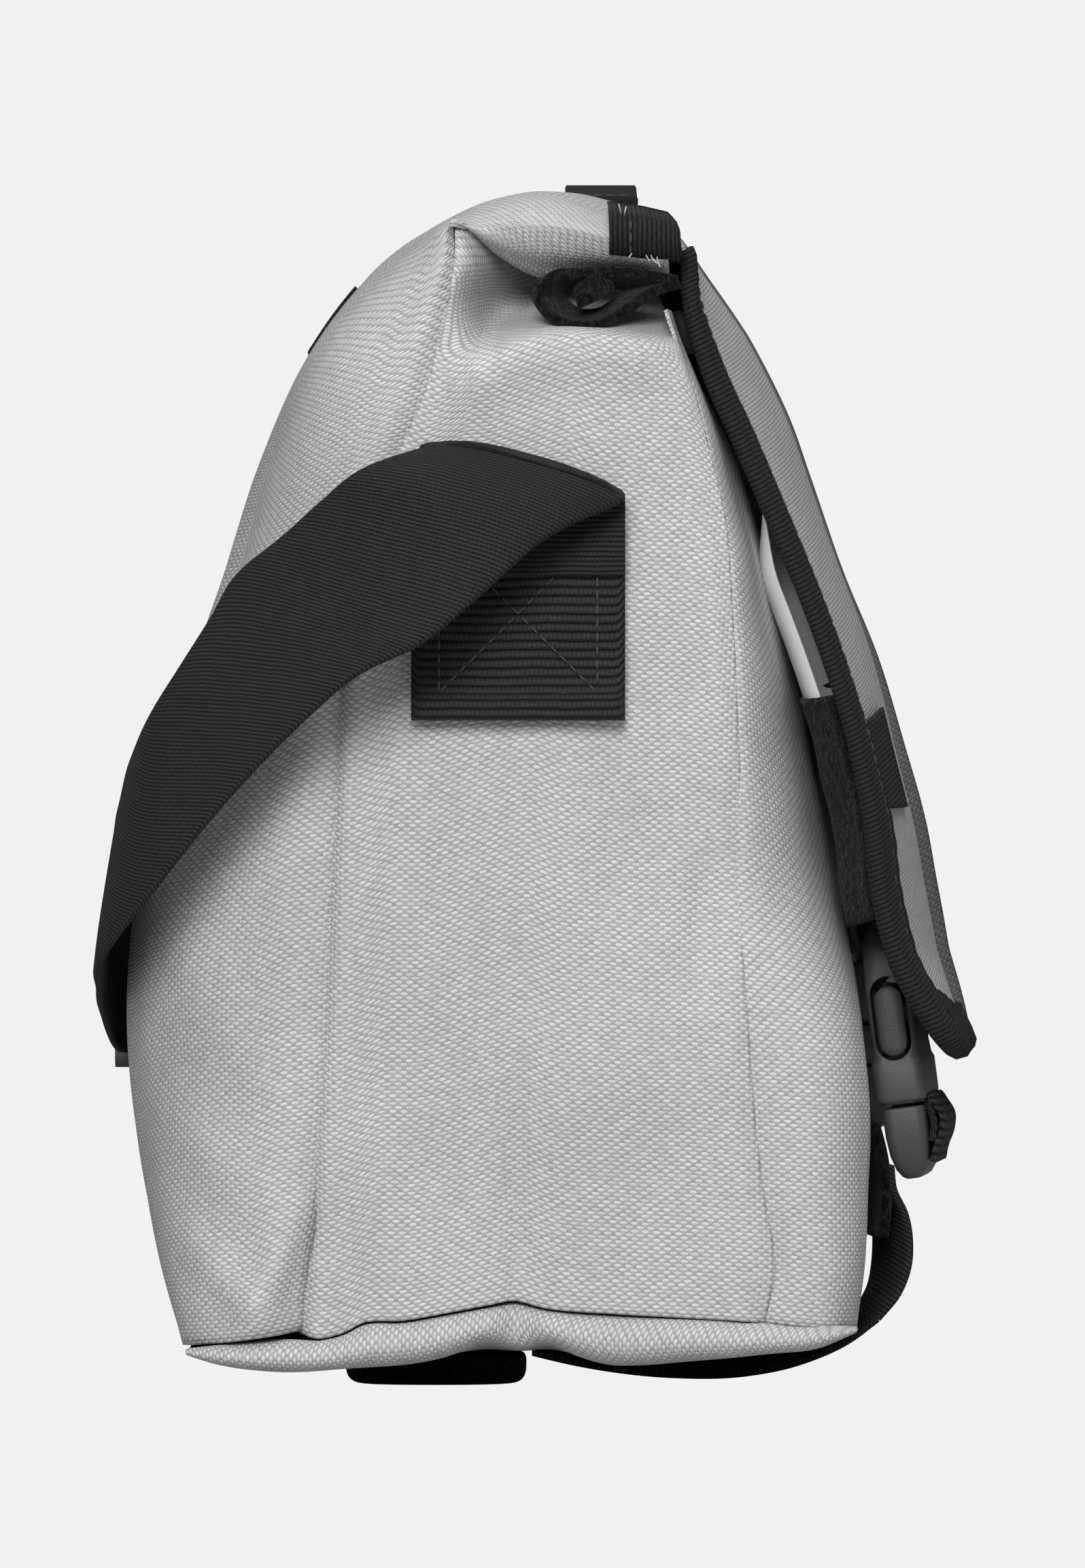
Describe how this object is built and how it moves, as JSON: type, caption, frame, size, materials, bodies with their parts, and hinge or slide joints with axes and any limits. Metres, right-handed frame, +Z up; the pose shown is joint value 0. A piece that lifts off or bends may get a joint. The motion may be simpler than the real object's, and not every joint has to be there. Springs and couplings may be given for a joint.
{
  "type": "messenger bag",
  "caption": "Messenger bag for mail: sewn box body, folding front flap, webbing shoulder strap, side-release buckles and a top grab handle.",
  "frame": {"origin": "under the middle of the bag's outline, on the plane the base pads rest on", "axes": "+Z up, +X along the bag's length, -Y out of the front, where the flap hangs"},
  "size_m": [0.4808, 0.2146, 0.2989],
  "materials": {
    "light_fabric": "coated basket weave",
    "dark_fabric": "coated basket weave",
    "lining": "smooth coated",
    "webbing": "ribbed webbing",
    "fuzzy_tape": "hook and loop pile",
    "foam": "closed-cell foam",
    "board": "sheet",
    "buckle_plastic": "fine moulded texture"
  },
  "bodies": {
    "root": {"back_foam": "foam", "back_panel": "light_fabric", "back_web_band": "webbing", "base_stiffener": "board", "base_strap_pads": "fuzzy_tape", "bottom_panel": "light_fabric", "divider_sleeve": "lining", "front_hook_tapes": "fuzzy_tape", "front_panel": "light_fabric", "handle_anchors": "webbing", "left_base_strap": "webbing", "left_front_strap": "webbing", "left_gusset": "light_fabric", "left_strap_anchor": "webbing", "lining": "lining", "mouth_binding": "webbing", "right_base_strap": "webbing", "right_front_strap": "webbing", "right_gusset": "light_fabric", "right_strap_anchor": "webbing", "strap_anchor_stitching": "webbing"},
    "flap": {"flap_binding": "webbing", "flap_centre_panel": "dark_fabric", "flap_left_panel": "light_fabric", "flap_lining": "lining", "flap_loop_tapes": "fuzzy_tape", "flap_right_panel": "light_fabric", "label_patch": "webbing", "left_socket": "buckle_plastic", "left_socket_tab": "webbing", "right_socket": "buckle_plastic", "right_socket_tab": "webbing"},
    "shoulder_strap": {"shoulder_strap": "webbing"},
    "strap_adjuster": {"strap_adjuster": "buckle_plastic"},
    "grab_handle": {"grab_handle": "webbing"},
    "left_plug": {"left_plug": "buckle_plastic"},
    "left_plug_outer_arm": {"left_plug_outer_arm": "buckle_plastic"},
    "left_plug_inner_arm": {"left_plug_inner_arm": "buckle_plastic"},
    "right_plug": {"right_plug": "buckle_plastic"},
    "right_plug_outer_arm": {"right_plug_outer_arm": "buckle_plastic"},
    "right_plug_inner_arm": {"right_plug_inner_arm": "buckle_plastic"}
  },
  "joints": [
    {"name": "flap_fold", "type": "hinge", "parent": "root", "child": "flap", "pos_m": [0, -0.033, 0.2865], "axis": [-1, 0, 0], "range_deg": [0, 140]},
    {"name": "shoulder_strap_swing", "type": "hinge", "parent": "root", "child": "shoulder_strap", "pos_m": [0, 0.0025, 0.2105], "axis": [1, 0, 0], "range_deg": [0, 130]},
    {"name": "strap_adjuster_slide", "type": "slide", "parent": "shoulder_strap", "child": "strap_adjuster", "axis": [1, 0, 0], "range_m": [-0.03, 0.03]},
    {"name": "grab_handle_lift", "type": "slide", "parent": "root", "child": "grab_handle", "axis": [0, 0, 1], "range_m": [0, 0.015]},
    {"name": "left_plug_slide", "type": "slide", "parent": "root", "child": "left_plug", "axis": [-0.0179, -0.1275, -0.9917], "range_m": [0, 0.032], "deforming": ["left_front_strap", "left_plug_outer_arm", "left_plug_inner_arm"]},
    {"name": "left_plug_outer_arm_flex", "type": "hinge", "parent": "left_plug", "child": "left_plug_outer_arm", "pos_m": [-0.16059, -0.08949, 0.06899], "axis": [0.138, 0.982, -0.1288], "range_deg": [0, 9]},
    {"name": "left_plug_inner_arm_flex", "type": "hinge", "parent": "left_plug", "child": "left_plug_inner_arm", "pos_m": [-0.13979, -0.09241, 0.06899], "axis": [-0.138, -0.982, 0.1288], "range_deg": [0, 9]},
    {"name": "right_plug_slide", "type": "slide", "parent": "root", "child": "right_plug", "axis": [0.0179, -0.1275, -0.9917], "range_m": [0, 0.032], "deforming": ["right_front_strap", "right_plug_outer_arm", "right_plug_inner_arm"]},
    {"name": "right_plug_outer_arm_flex", "type": "hinge", "parent": "right_plug", "child": "right_plug_outer_arm", "pos_m": [0.16059, -0.08949, 0.06899], "axis": [0.138, -0.982, 0.1288], "range_deg": [0, 9]},
    {"name": "right_plug_inner_arm_flex", "type": "hinge", "parent": "right_plug", "child": "right_plug_inner_arm", "pos_m": [0.13979, -0.09241, 0.06899], "axis": [-0.138, 0.982, -0.1288], "range_deg": [0, 9]}
  ],
  "couplings": [
    {"joint": "left_plug_inner_arm_flex", "follows": "left_plug_outer_arm_flex", "ratio": 1},
    {"joint": "right_plug_inner_arm_flex", "follows": "right_plug_outer_arm_flex", "ratio": 1}
  ]
}
